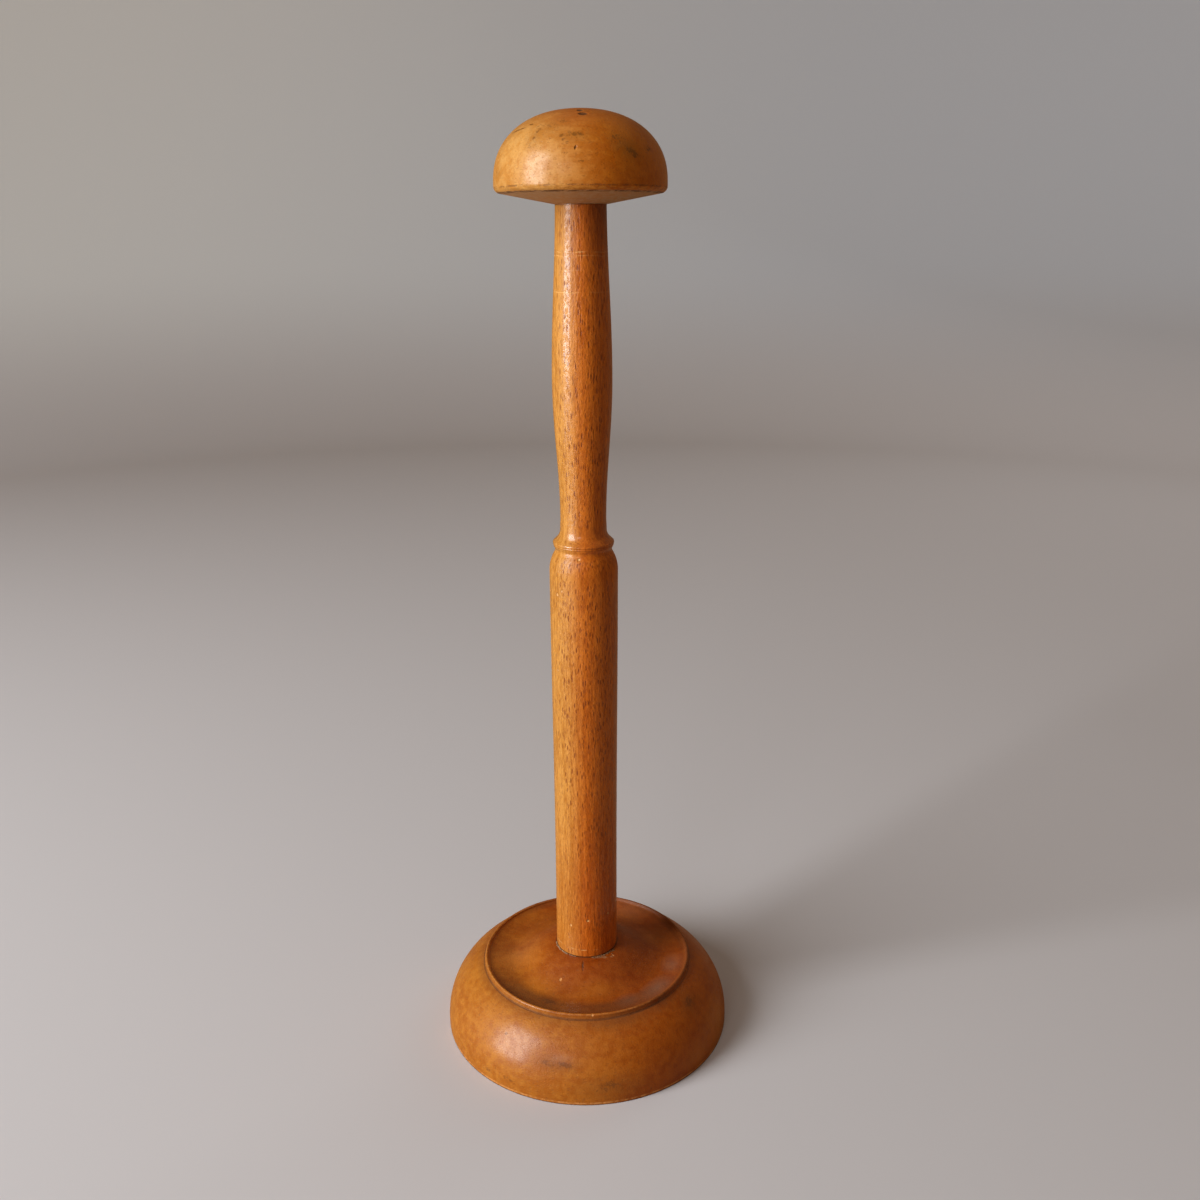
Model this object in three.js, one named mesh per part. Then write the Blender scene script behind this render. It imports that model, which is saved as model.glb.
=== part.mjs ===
// Wooden hat stand: a dished base, a turned post and a domed head, glued together with round tenons.
// Millimetres, +Z up. The origin is the middle of the standing rim, on the surface that the stand rests on.
// Every piece is a turning, so each is a profile of (radius, height) points revolved about the Z axis.

import * as THREE from "three";

// Base
const baseDiameter = 125;
const baseSideHeight = 2.7; // height at which the rounded side stands upright
const baseArris = 0.3; // worn bottom edge
const rimWidth = 10; // flat ring that the base stands on
const recessDepth = 2; // hollow inside that ring
const recessSlope = 3; // width over which the hollow deepens
const ridgeDiameter = 90; // crest of the raised ridge
const ridgeHeight = 30.8;
const ridgeRound = 0.7; // radius of the crest
const quirkDrop = 2.3; // crest down to the quirk outside it
const quirkOffset = 1; // crest out to that quirk
const coveDepth = 2.4; // crest down to the lowest ring of the dish
const coveWidth = 9.6; // ridge in to that ring
const seatHeight = 36.1; // the dish rises to this height at the foot of the post
const seatMargin = 1.2; // flat ring left round the foot
const dishReach = 6; // length over which the dish leaves its lowest ring
const seatReach = 5; // length over which it levels out at the foot

// Post, from the foot up
const footDiameter = 26.8;
const footArris = 0.4;
const slimDiameter = 26.66; // the shaft draws in a little, and swells again towards the shoulder
const slimHeight = 48.3;
const shaftDiameter = 27.64;
const shaftRise = 123.6; // slimmest part up to the full diameter
const shaftStraight = 1.3;
const shoulderHeight = 7.55;
const shoulderDiameter = 23.4; // upper edge of the rounded shoulder
const notchDiameter = 22.7;
const notchStep = 1.15; // shoulder edge up to the narrowest ring
const notchHeight = 1.6; // narrowest ring up to the fillet
const filletDiameter = 24.3;
const filletHeight = 0.8;
const filletRound = 0.4;
const quirkDepth = 0.35; // fine grooves on both sides of the fillet
const beadDiameter = 24.6;
const beadRound = 0.7; // radius of the bead's edge
const beadLean = 40.5; // degrees by which the flare above the bead leans in
const flareHeight = 5.75; // fillet up to the collar
const flareRound = 5.1; // hollow between bead and collar
const collarDiameter = 18.66;
const waistDiameter = 18.32;
const waistHeight = 4.65; // collar up to the slimmest part of the waist
const vaseDiameter = 23.28;
const vaseRise = 54.1; // waist up to the widest part of the vase
const neckDiameter = 19.1;
const vaseFall = 67.7; // widest part up to where the taper would end
const neckHeight = 63.7; // widest part up to the underside of the head

// Head
const headDiameter = 63.7;
const headHeight = 32.4;
const headSeatMargin = 0.3; // flat ring left round the neck
const undersideRise = 3.8; // the shallow cone under the head rises this much from the neck to the edge
const headEdgeInset = 1.6; // the edge is rounded this far in
const headEdgeHeight = 2.3; // and over this height
const headSideHeight = 7.3; // underside of the head up to where the dome starts
const domeFullness = 2.23; // 2 is an ellipse, and more is fuller

// Joints
const lowerTenonDiameter = 19;
const lowerTenonLength = 22;
const upperTenonDiameter = 12.7;
const upperTenonLength = 19;
const tenonChamfer = 1;
const glueGap = 0.3; // between a tenon and the wall of its mortise
const glueWell = 1.5; // left at the bottom of a mortise

// Sides of the turnings
const broadSides = 56;
const postSides = 40;

const baseWood = new THREE.MeshStandardMaterial({ color: 0xa85c22, roughness: 0.42, metalness: 0 });
const postWood = new THREE.MeshStandardMaterial({ color: 0xc07a36, roughness: 0.4, metalness: 0 });
const headWood = new THREE.MeshStandardMaterial({ color: 0xc98536, roughness: 0.38, metalness: 0 });

/** Arc about (r, z), its angles in degrees from the outward direction. */
function arc(r, z, radius, from, to, steps) {
  return ellipse(r, z, radius, radius, from, to, steps);
}

function ellipse(r, z, across, up, from, to, steps) {
  const points = [];
  for (let i = 0; i <= steps; i++) {
    const angle = THREE.MathUtils.degToRad(from + ((to - from) * i) / steps);
    points.push([r + across * Math.cos(angle), z + up * Math.sin(angle)]);
  }
  return points;
}

/** Arc that leaves its foot upright and ends at its top, further in. */
function roundOver(foot, top, steps) {
  const inward = foot[0] - top[0];
  const rise = top[1] - foot[1];
  const radius = (inward * inward + rise * rise) / (2 * inward);
  const end = THREE.MathUtils.radToDeg(Math.atan2(rise, radius - inward));
  return arc(foot[0] - radius, foot[1], radius, 0, end, steps);
}

/** Half a cosine wave from one point up to another, upright at both ends, drawn up to a share of its height. */
function swell(foot, top, steps, share = 1) {
  const points = [];
  for (let i = 0; i <= steps; i++) {
    const t = (share * i) / steps;
    const blend = (1 - Math.cos(Math.PI * t)) / 2;
    points.push([foot[0] + (top[0] - foot[0]) * blend, foot[1] + (top[1] - foot[1]) * t]);
  }
  return points;
}

/** Curve that is level at both ends, each with its own reach. */
function levelCurve(start, startReach, end, endReach, steps) {
  const curve = new THREE.CubicBezierCurve(
    new THREE.Vector2(start[0], start[1]),
    new THREE.Vector2(start[0] - startReach, start[1]),
    new THREE.Vector2(end[0] + endReach, end[1]),
    new THREE.Vector2(end[0], end[1]),
  );
  return curve.getPoints(steps).map((p) => [p.x, p.y]);
}

/** Revolves a profile that starts and ends on the axis. */
function turn(name, profile, sides, material) {
  const points = [];
  for (const [r, z] of profile) {
    const last = points.at(-1);
    if (last && Math.hypot(last.x - r, last.y - z) < 0.02) continue;
    points.push(new THREE.Vector2(r, z));
  }
  const geometry = new THREE.LatheGeometry(points, sides);
  geometry.rotateX(Math.PI / 2);
  const mesh = new THREE.Mesh(geometry, material);
  mesh.name = name;
  return mesh;
}

function makeBase() {
  const radius = baseDiameter / 2;
  const ridge = ridgeDiameter / 2;
  const quirk = [ridge + quirkOffset, ridgeHeight - quirkDrop];
  const crest = [ridge, ridgeHeight - ridgeRound];
  const dishRadius = ridge - ridgeRound - coveWidth;
  const dishHeight = ridgeHeight - coveDepth;
  const seatRadius = footDiameter / 2 + seatMargin;
  const mortise = lowerTenonDiameter / 2 + glueGap;
  const mortiseFloor = seatHeight - lowerTenonLength - glueWell;
  return turn("base", [
    [0, recessDepth],
    [radius - rimWidth - recessSlope, recessDepth],
    [radius - rimWidth, 0],
    [radius - baseArris, 0],
    [radius, baseArris],
    ...roundOver([radius, baseSideHeight], quirk, 14),
    ...arc(crest[0], crest[1], ridgeRound, -20, 180, 7),
    ...ellipse(dishRadius, crest[1], coveWidth, coveDepth - ridgeRound, 0, -90, 6),
    ...levelCurve([dishRadius, dishHeight], dishReach, [seatRadius, seatHeight], seatReach, 9),
    [mortise, seatHeight],
    [mortise, mortiseFloor],
    [0, mortiseFloor],
  ], broadSides, baseWood);
}

/** Heights of the post's features above its foot. */
function postHeights() {
  const shoulder = slimHeight + shaftRise + shaftStraight;
  const shoulderTop = shoulder + shoulderHeight;
  const notch = shoulderTop + notchStep;
  const fillet = notch + notchHeight;
  const bead = fillet + filletHeight;
  const collar = bead + flareHeight;
  const waist = collar + waistHeight;
  const vase = waist + vaseRise;
  return { shoulder, shoulderTop, notch, fillet, bead, collar, waist, vase, top: vase + neckHeight };
}

/** Narrow ring between the two quirks, then the bead, and the hollow that sweeps up from it to the waist. */
function beadProfile(at) {
  const fillet = filletDiameter / 2;
  const bead = beadDiameter / 2;
  const collar = collarDiameter / 2;
  return [
    [fillet - quirkDepth, at.fillet],
    ...arc(fillet - filletRound, at.fillet + filletHeight / 2, filletRound, -60, 60, 4),
    [fillet - quirkDepth, at.bead],
    ...arc(bead - beadRound, at.bead + beadRound * Math.SQRT1_2, beadRound, -45, beadLean, 5),
    ...arc(collar + flareRound, at.collar, flareRound, 180 + beadLean, 180, 4),
  ];
}

function makePost() {
  const at = postHeights();
  const foot = footDiameter / 2;
  const shaft = shaftDiameter / 2;
  const lower = lowerTenonDiameter / 2;
  const upper = upperTenonDiameter / 2;
  const neck = neckDiameter / 2;
  const mesh = turn("post", [
    [0, -lowerTenonLength],
    [lower - tenonChamfer, -lowerTenonLength],
    [lower, tenonChamfer - lowerTenonLength],
    [lower, 0],
    [foot - footArris, 0],
    ...swell([foot, footArris], [slimDiameter / 2, slimHeight], 4),
    ...swell([slimDiameter / 2, slimHeight], [shaft, slimHeight + shaftRise], 7),
    ...roundOver([shaft, at.shoulder], [shoulderDiameter / 2, at.shoulderTop], 7),
    ...swell([notchDiameter / 2, at.notch], [filletDiameter / 2 - quirkDepth / 2, at.fillet], 3),
    ...beadProfile(at),
    ...swell([collarDiameter / 2, at.collar], [waistDiameter / 2, at.waist], 3),
    ...swell([waistDiameter / 2, at.waist], [vaseDiameter / 2, at.vase], 10),
    ...swell([vaseDiameter / 2, at.vase], [neck, at.vase + vaseFall], 10, neckHeight / vaseFall),
    [upper, at.top],
    [upper, at.top + upperTenonLength - tenonChamfer],
    [upper - tenonChamfer, at.top + upperTenonLength],
    [0, at.top + upperTenonLength],
  ], postSides, postWood);
  mesh.position.z = seatHeight;
  return mesh;
}

/** Edge of the head: it leaves the cone underneath at a corner and turns upright into the side of the dome. */
function headEdge() {
  const across = 2 * headEdgeInset;
  const up = headEdgeHeight / Math.sin(Math.PI / 3);
  return ellipse(headDiameter / 2 - across, undersideRise + headEdgeHeight, across, up, -60, 0, 5);
}

function makeHead() {
  const radius = headDiameter / 2;
  const seatRadius = neckDiameter / 2 + headSeatMargin;
  const mortise = upperTenonDiameter / 2 + glueGap;
  const mortiseRoof = upperTenonLength + glueWell;
  const domeHeight = headHeight - headSideHeight;
  const dome = [];
  const steps = 18;
  for (let i = 0; i <= steps; i++) {
    const angle = (Math.PI / 2) * (i / steps);
    const across = i < steps ? Math.cos(angle) ** (2 / domeFullness) : 0;
    dome.push([radius * across, headSideHeight + domeHeight * Math.sin(angle) ** (2 / domeFullness)]);
  }
  const mesh = turn("head", [
    [0, mortiseRoof],
    [mortise, mortiseRoof],
    [mortise, 0],
    [seatRadius, 0],
    ...headEdge(),
    ...dome,
  ], broadSides, headWood);
  mesh.position.z = seatHeight + postHeights().top;
  return mesh;
}

const hatStand = new THREE.Group();
hatStand.add(makeBase(), makePost(), makeHead());

export default hatStand;
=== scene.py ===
# Wooden hat stand: a dished base, a turned post and a domed head in varnished beech, worn and handled.
# Sizes in the dictionaries are millimetres and degrees, but the studio and the camera stand in metres.
# +Z is up, and every turning is about the Z axis.

import math
import random

import bmesh
import bpy
from mathutils import Matrix, Vector


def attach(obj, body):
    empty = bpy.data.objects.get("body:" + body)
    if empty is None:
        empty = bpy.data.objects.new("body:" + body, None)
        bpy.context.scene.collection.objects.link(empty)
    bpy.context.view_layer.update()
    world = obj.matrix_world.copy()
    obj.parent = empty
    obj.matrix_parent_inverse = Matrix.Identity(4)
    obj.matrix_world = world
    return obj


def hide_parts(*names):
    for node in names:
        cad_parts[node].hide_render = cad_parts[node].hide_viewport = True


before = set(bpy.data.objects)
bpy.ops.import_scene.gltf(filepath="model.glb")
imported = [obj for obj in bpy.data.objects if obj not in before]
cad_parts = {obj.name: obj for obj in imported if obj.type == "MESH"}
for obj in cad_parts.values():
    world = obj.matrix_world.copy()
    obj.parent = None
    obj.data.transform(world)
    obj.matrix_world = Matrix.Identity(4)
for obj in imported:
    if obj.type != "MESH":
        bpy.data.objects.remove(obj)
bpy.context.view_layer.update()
print("frame loaded:", ", ".join(sorted(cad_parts)))

mm = 0.001
samePoint = 0.01  # nearer points of a profile are one
seamGap = 0.002  # the seam and the axis of a turning are merged within this


# Profiles are lists of (radius, height) points.

def ellipse(r, z, across, up, start, end, steps):
    turns = [math.radians(start + (end - start) * i / steps) for i in range(steps + 1)]
    return [(r + across * math.cos(turn), z + up * math.sin(turn)) for turn in turns]


def arc(r, z, radius, start, end, steps):
    return ellipse(r, z, radius, radius, start, end, steps)


def roundOver(foot, top, steps):  # arc that leaves its foot upright
    inward, rise = foot[0] - top[0], top[1] - foot[1]
    radius = (inward ** 2 + rise ** 2) / (2 * inward)
    end = math.degrees(math.atan2(rise, radius - inward))
    return arc(foot[0] - radius, foot[1], radius, 0, end, steps)


def swell(foot, top, steps, share=1.0):  # half a cosine wave, upright at both ends
    points = []
    for i in range(steps + 1):
        t = share * i / steps
        blend = (1 - math.cos(math.pi * t)) / 2
        points.append((foot[0] + (top[0] - foot[0]) * blend, foot[1] + (top[1] - foot[1]) * t))
    return points


def levelCurve(start, startReach, end, endReach, steps):  # level at both ends
    pulls = [start, (start[0] - startReach, start[1]), (end[0] + endReach, end[1]), end]
    points = []
    for i in range(steps + 1):
        t = i / steps
        weights = [(1 - t) ** 3, 3 * t * (1 - t) ** 2, 3 * t * t * (1 - t), t ** 3]
        points.append(tuple(sum(w * p[axis] for w, p in zip(weights, pulls)) for axis in (0, 1)))
    return points


def turnOnLathe(name, profile, steps, lift=0.0):
    points = []
    for r, z in profile:
        point = Vector((r, 0, z + lift)) * mm
        if not points or (points[-1] - point).length >= samePoint * mm:
            points.append(point)
    return finishPiece(name, revolve(points, steps, seamGap * mm))


def revolve(points, steps, weld):
    bm = bmesh.new()
    ring = [bm.verts.new(point) for point in points]
    line = [bm.edges.new(pair) for pair in zip(ring, ring[1:])]
    bmesh.ops.spin(
        bm, geom=ring + line, cent=(0, 0, 0), axis=(0, 0, 1), dvec=(0, 0, 0),
        angle=math.tau, steps=steps, use_merge=True, use_duplicate=False,
    )
    bmesh.ops.remove_doubles(bm, verts=bm.verts, dist=weld)
    bmesh.ops.recalc_face_normals(bm, faces=bm.faces)
    return bm


def finishPiece(name, bm, sharpAbove=38):
    mesh = bpy.data.meshes.new(name)
    bm.to_mesh(mesh)
    bm.free()
    mesh.shade_smooth()
    mesh.set_sharp_from_angle(angle=math.radians(sharpAbove))
    piece = bpy.data.objects.new(name, mesh)
    bpy.context.scene.collection.objects.link(piece)
    return piece


# Nodes. put() adds one node, with its settings, and its sockets set to values or linked.

def put(tree, kind, sockets=None, **settings):
    node = tree.nodes.new("ShaderNode" + kind)
    for setting, value in settings.items():
        setattr(node, setting, value)
    for socket, value in (sockets or {}).items():
        if isinstance(value, bpy.types.NodeSocket):
            tree.links.new(value, node.inputs[socket])
        else:
            node.inputs[socket].default_value = value
    return node


def calc(tree, operation, a, b=0.0):
    return put(tree, "Math", {0: a, 1: b}, operation=operation).outputs[0]


def times(tree, a, b):
    return calc(tree, "MULTIPLY", a, b)


def strongest(tree, a, b):
    return calc(tree, "MAXIMUM", a, b)


def fade(tree, value, start, end, low=0.0, high=1.0):  # eases from low to high
    sockets = {"Value": value, "From Min": start, "From Max": end, "To Min": low, "To Max": high}
    return put(tree, "MapRange", sockets, interpolation_type="SMOOTHSTEP").outputs["Result"]


def ramp(tree, value, reach, low=0.0, high=1.0):  # a fade over a reach in millimetres
    return fade(tree, value, reach[0] * mm, reach[1] * mm, low, high)


def band(tree, value, limits):  # 0 outside the outer two limits, 1 between the inner two
    start, full, fullEnd, end = limits
    return times(tree, ramp(tree, value, (start, full)), ramp(tree, value, (end, fullEnd)))


def lessen(tree, mask, least):  # 1 outside the mask, least inside it
    return fade(tree, mask, 0.0, 1.0, 1.0, least)


def stretched(tree, place, scale):
    return put(tree, "Mapping", {"Vector": place, "Scale": scale}).outputs[0]


def cloud(tree, place, scale, detail=2.0, rough=0.5):  # noise. Its scale is one number, or one for each axis
    if isinstance(scale, tuple):
        place, scale = stretched(tree, place, scale), 1.0
    sockets = {"Vector": place, "Scale": scale, "Detail": detail, "Roughness": rough}
    return put(tree, "TexNoise", sockets).outputs[0]


def layer(tree, factor, under, over, mode="MIX"):  # sockets 6 and 7 are the colours A and B
    return put(tree, "Mix", {0: factor, 6: under, 7: over}, data_type="RGBA", blend_type=mode).outputs[2]


def tinted(tree, factor, colour, tint):
    return layer(tree, factor, colour, tint, "MULTIPLY")


def stained(tree, mask, strength, colour, tone):
    return layer(tree, times(tree, mask, strength), colour, tone)


def rgb(red, green, blue):
    return (red, green, blue, 1.0)


def flecks(tree, place, spacing, size):  # slim lenses, some faint, some dark. Size is a share of the spacing
    cells = stretched(tree, place, [1 / (s * mm) for s in spacing])
    cells = put(tree, "TexVoronoi", {"Vector": cells, "Scale": 1.0})
    body = fade(tree, cells.outputs["Distance"], size, size / 2)
    depth = put(tree, "SeparateColor", {0: cells.outputs["Color"]}).outputs[0]
    return times(tree, body, fade(tree, depth, 0.0, 0.8, 0.25, 1.0))


def spot(tree, place, at, size, facing=0.0, roll=0.0):  # 1 in the middle of an ellipsoid, 0 at its edge
    sockets = {
        "Vector": place,
        "Location": Vector(at) * mm,
        "Rotation": (0.0, math.radians(roll), math.radians(facing)),
        "Scale": Vector(size) * mm,
    }
    local = put(tree, "Mapping", sockets, vector_type="TEXTURE").outputs[0]
    return put(tree, "TexGradient", {"Vector": local}, gradient_type="SPHERICAL").outputs["Fac"]


def spots(tree, place, marks):  # the strongest of several spots
    total = None
    for mark in marks:
        at = mark["at"]
        facing = math.degrees(math.atan2(at[0], -at[1]))
        one = spot(tree, place, at, mark["size"], facing, mark.get("roll", 0.0))
        one = times(tree, one, mark.get("strength", 1.0))
        total = one if total is None else strongest(tree, total, one)
    return total


def ragged(tree, place, mask, scale=850.0):  # speckles that close up where the mask is strong
    grit = cloud(tree, place, scale, 4, 0.7)
    return fade(tree, calc(tree, "ADD", grit, times(tree, mask, 0.55)), 0.76, 0.92)


def blend(tree, parts):  # sum of weighted values
    total = 0.0
    for value, weight in parts:
        total = calc(tree, "ADD", total, times(tree, value, weight))
    return total


# Painted light and shade: the side towards the window light is painted a lighter gold, the side away from it
# a deeper red, as lit and shaded tones of one varnish.

windowward = (-0.875, -0.485)  # X and Y
varnishIor = 1.5  # the dried glue bends light as much


def distanceToWindow(tree, x, y):
    return calc(tree, "ADD", times(tree, x, windowward[0]), times(tree, y, windowward[1]))


def paintLitAndShadedSides(tree, x, y, colour, look):
    # painted light and shade, by the distance towards the window light
    litSide = ramp(tree, distanceToWindow(tree, x, y), look["litSideReach"])
    return tinted(tree, 1.0, colour, layer(tree, litSide, look["shadedSideTint"], look["litSideTint"]))


def startMaterial(name):
    material = bpy.data.materials.new(name)
    material.use_nodes = True
    tree = material.node_tree
    tree.nodes.clear()
    return material, tree, put(tree, "TexCoord").outputs["Object"]


def coordinates(tree, place):  # x, y and z
    return put(tree, "SeparateXYZ", {0: place}).outputs


def fromAxis(tree, x, y):
    return calc(tree, "SQRT", calc(tree, "ADD", times(tree, x, x), times(tree, y, y)))


def varnish(tree, colour, rough, height, coat, look):
    bump = put(tree, "Bump", {"Height": height, "Strength": 1.0, "Distance": look["bump"] * mm})
    shader = put(tree, "BsdfPrincipled", {
        "Base Color": colour,
        "Roughness": rough,
        "IOR": varnishIor,
        "Specular IOR Level": look["shine"],
        "Coat Weight": times(tree, coat, look["coat"]),
        "Coat Roughness": look["coatRough"],
        "Normal": bump.outputs[0],
    })
    put(tree, "OutputMaterial", {"Surface": shader.outputs[0]})


# Base

baseSizes = {
    "diameter": 125, "sideHeight": 2.7, "arris": 0.3, "rimWidth": 10, "recessDepth": 2, "recessSlope": 3,
    "ridgeDiameter": 90, "ridgeHeight": 30.8, "ridgeRound": 0.7, "quirkDrop": 2.3, "quirkOffset": 1,
    "coveDepth": 2.4, "coveWidth": 9.6, "seatHeight": 36.1, "seatMargin": 1.2, "dishReach": 6, "seatReach": 5,
    "mortiseRadius": 9.8, "mortiseFloor": 12.6, "steps": 160,
}


def makeBase(sizes):
    radius, ridge = sizes["diameter"] / 2, sizes["ridgeDiameter"] / 2
    quirk = (ridge + sizes["quirkOffset"], sizes["ridgeHeight"] - sizes["quirkDrop"])
    crest = (ridge, sizes["ridgeHeight"] - sizes["ridgeRound"])
    dish = (ridge - sizes["ridgeRound"] - sizes["coveWidth"], sizes["ridgeHeight"] - sizes["coveDepth"])
    seat = (postSizes["foot"] / 2 + sizes["seatMargin"], sizes["seatHeight"])
    profile = [
        (0, sizes["recessDepth"]),
        (radius - sizes["rimWidth"] - sizes["recessSlope"], sizes["recessDepth"]),
        (radius - sizes["rimWidth"], 0),
        *arc(radius - sizes["arris"], sizes["arris"], sizes["arris"], -90, 0, steps=4),
        *roundOver((radius, sizes["sideHeight"]), quirk, steps=56),
        *arc(*crest, sizes["ridgeRound"], -20, 180, steps=18),
        *ellipse(dish[0], crest[1], sizes["coveWidth"], crest[1] - dish[1], 0, -90, steps=14),
        *levelCurve(dish, sizes["dishReach"], seat, sizes["seatReach"], steps=40),
        (sizes["mortiseRadius"], sizes["seatHeight"]),
        (sizes["mortiseRadius"], sizes["mortiseFloor"]),
        (0, sizes["mortiseFloor"]),
    ]
    return turnOnLathe("turnedBase", profile, sizes["steps"])


# Post. Heights are from its foot.

postSizes = {
    "foot": 26.8, "footArris": 0.4, "slim": 26.66, "slimAt": 48.3, "shaft": 27.64, "shaftAt": 171.9,
    "shoulderAt": 173.2, "shoulderTop": 180.75, "shoulderDiameter": 23.4, "notch": 22.7, "notchAt": 181.9,
    "fillet": 24.3, "filletAt": 183.5, "filletHeight": 0.8, "filletRound": 0.4, "quirk": 0.35,
    "bead": 24.6, "beadRound": 0.7, "beadLean": 40.5, "flareRound": 5.1, "collar": 18.66, "collarAt": 190.05,
    "waist": 18.32, "waistAt": 194.7, "vase": 23.28, "vaseAt": 248.8, "neck": 19.1, "vaseFall": 67.7,
    "top": 312.5, "lowerTenon": (9.5, 22), "upperTenon": (6.35, 19), "chamfer": 1, "steps": 144,
}


def makePost(sizes):
    lower, lowerLength = sizes["lowerTenon"]
    upper, upperLength = sizes["upperTenon"]
    fillet, bead, collar = sizes["fillet"] / 2, sizes["bead"] / 2, sizes["collar"] / 2
    foot = (sizes["foot"] / 2, sizes["footArris"])
    slim = (sizes["slim"] / 2, sizes["slimAt"])
    shaft = (sizes["shaft"] / 2, sizes["shaftAt"])
    shoulder = ((shaft[0], sizes["shoulderAt"]), (sizes["shoulderDiameter"] / 2, sizes["shoulderTop"]))
    notch = ((sizes["notch"] / 2, sizes["notchAt"]), (fillet - sizes["quirk"] / 2, sizes["filletAt"]))
    filletTop = sizes["filletAt"] + sizes["filletHeight"]
    filletMiddle = (fillet - sizes["filletRound"], sizes["filletAt"] + sizes["filletHeight"] / 2)
    # the bead's edge starts 45 degrees below its widest ring
    beadMiddle = (bead - sizes["beadRound"], filletTop + sizes["beadRound"] * math.sqrt(0.5))
    flareMiddle = (collar + sizes["flareRound"], sizes["collarAt"])
    waist = (sizes["waist"] / 2, sizes["waistAt"])
    vase = (sizes["vase"] / 2, sizes["vaseAt"])
    neck = (sizes["neck"] / 2, sizes["vaseAt"] + sizes["vaseFall"])
    neckShare = (sizes["top"] - sizes["vaseAt"]) / sizes["vaseFall"]
    profile = [
        (0, -lowerLength),
        (lower - sizes["chamfer"], -lowerLength),
        (lower, sizes["chamfer"] - lowerLength),
        (lower, 0),
        *arc(foot[0] - foot[1], foot[1], foot[1], -90, 0, steps=4),
        *swell(foot, slim, steps=10),
        *swell(slim, shaft, steps=24),
        *roundOver(*shoulder, steps=24),
        *swell(*notch, steps=6),
        (fillet - sizes["quirk"], sizes["filletAt"]),
        *arc(*filletMiddle, sizes["filletRound"], -60, 60, steps=8),
        (fillet - sizes["quirk"], filletTop),
        *arc(*beadMiddle, sizes["beadRound"], -45, sizes["beadLean"], steps=12),
        *arc(*flareMiddle, sizes["flareRound"], 180 + sizes["beadLean"], 180, steps=12),
        *swell((collar, sizes["collarAt"]), waist, steps=6),
        *swell(waist, vase, steps=30),
        *swell(vase, neck, steps=30, share=neckShare),
        (upper, sizes["top"]),
        (upper, sizes["top"] + upperLength - sizes["chamfer"]),
        (upper - sizes["chamfer"], sizes["top"] + upperLength),
        (0, sizes["top"] + upperLength),
    ]
    return turnOnLathe("turnedPost", profile, sizes["steps"], lift=baseSizes["seatHeight"])


# Head. Heights are from its seat on the neck.

headSizes = {
    "diameter": 63.7, "height": 32.4, "seatMargin": 0.3, "undersideRise": 3.8,
    "edgeInset": 1.6, "edgeHeight": 2.3, "edgeTurn": 60, "sideHeight": 7.3, "fullness": 2.23, "domeSteps": 60,
    "mortiseRadius": 6.65, "mortiseRoof": 20.5, "steps": 160,
}


def makeHead(sizes):
    radius = sizes["diameter"] / 2
    seat = postSizes["neck"] / 2 + sizes["seatMargin"]
    edgeAcross = 2 * sizes["edgeInset"]
    edgeUp = sizes["edgeHeight"] / math.sin(math.radians(sizes["edgeTurn"]))
    edgeMiddle = (radius - edgeAcross, sizes["undersideRise"] + sizes["edgeHeight"])
    domeHeight, last = sizes["height"] - sizes["sideHeight"], sizes["domeSteps"]
    dome = []
    for i in range(last + 1):
        turn = math.pi / 2 * i / last
        across = math.cos(turn) ** (2 / sizes["fullness"]) if i < last else 0.0
        rise = math.sin(turn) ** (2 / sizes["fullness"])
        dome.append((radius * across, sizes["sideHeight"] + domeHeight * rise))
    profile = [
        (0, sizes["mortiseRoof"]),
        (sizes["mortiseRadius"], sizes["mortiseRoof"]),
        (sizes["mortiseRadius"], 0),
        (seat, 0),
        *ellipse(*edgeMiddle, edgeAcross, edgeUp, -sizes["edgeTurn"], 0, steps=12),
        *dome,
    ]
    return turnOnLathe("turnedHead", profile, sizes["steps"], lift=baseSizes["seatHeight"] + postSizes["top"])


# Finish of the post: golden beech full of short dark ray flecks, under a satin varnish.
# In this look and the two below, the scales of noise are per metre, and strength is how far a layer shows.

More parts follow.
